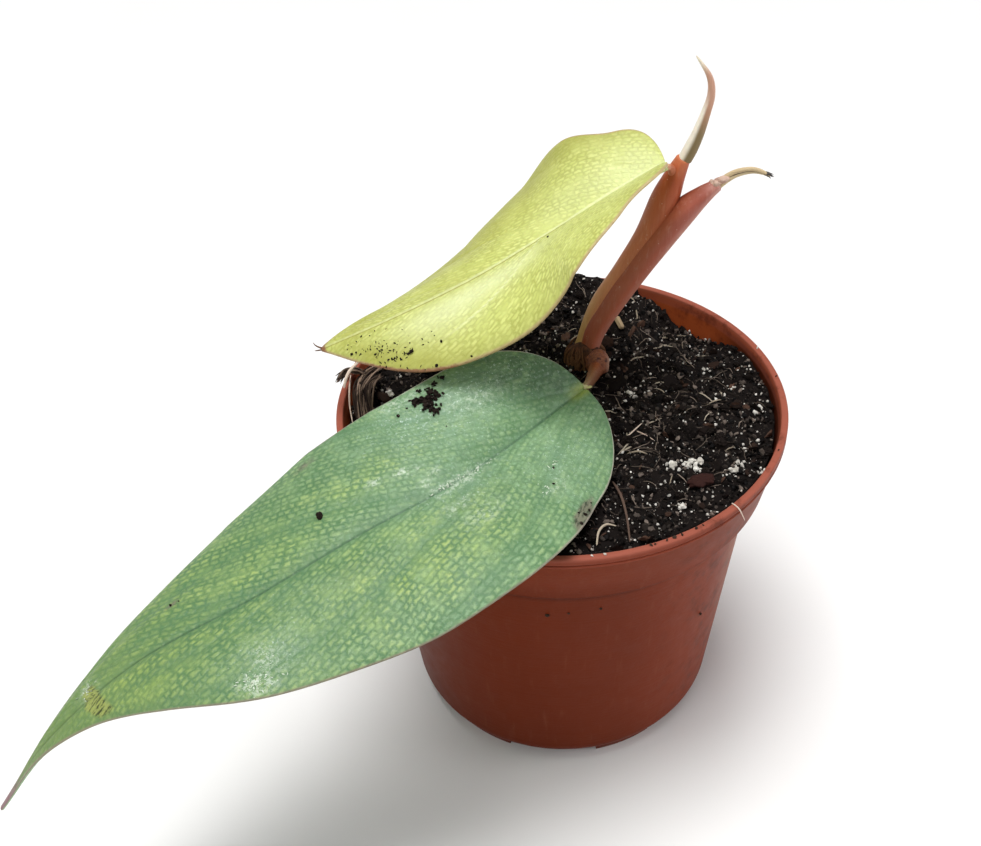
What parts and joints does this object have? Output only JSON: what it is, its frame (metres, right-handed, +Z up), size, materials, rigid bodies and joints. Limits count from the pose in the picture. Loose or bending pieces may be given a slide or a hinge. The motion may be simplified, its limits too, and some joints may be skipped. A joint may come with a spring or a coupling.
{
  "type": "potted philodendron",
  "caption": "Young philodendron with a net-veined green leaf, a yellow-green leaf and an unrolled new shoot, growing in dark gritty soil in a small round red-brown nursery pot.",
  "frame": {"origin": "centre of the round foot in the middle of the pot's underside, on the surface that the pot stands on", "axes": "+Z up along the pot's axis, -Y towards the picture's camera, +X to the right in the picture"},
  "size_m": [0.1291, 0.1056, 0.124],
  "materials": {
    "pot_plastic": "satin",
    "peat_soil": "matte",
    "stem_fibre": "matte",
    "green_leaf": "satin",
    "tan_stalk": "satin",
    "yellow_leaf": "satin",
    "brown_stalk": "satin",
    "red_sheath": "satin",
    "dried_sheath": "matte",
    "cream_shoot": "satin",
    "red_bark": "matte",
    "grey_wood": "matte",
    "coir": "matte",
    "straw": "matte",
    "pale_root_bark": "matte",
    "brown_root_bark": "matte"
  },
  "bodies": {
    "root": {"pot": "pot_plastic", "soil": "peat_soil", "stump": "stem_fibre", "green_blade": "green_leaf", "green_petiole": "tan_stalk", "yellow_blade": "yellow_leaf", "yellow_petiole": "brown_stalk", "right_sheath": "red_sheath", "dried_tip": "dried_sheath", "new_leaf": "cream_shoot", "bark_chip": "red_bark", "wood_stick": "grey_wood", "coir_tuft": "coir", "pale_straw": "straw", "pale_root": "pale_root_bark", "brown_root": "brown_root_bark", "leaf_crumbs": "peat_soil", "leaf_crumb_dot": "peat_soil"}
  },
  "joints": []
}
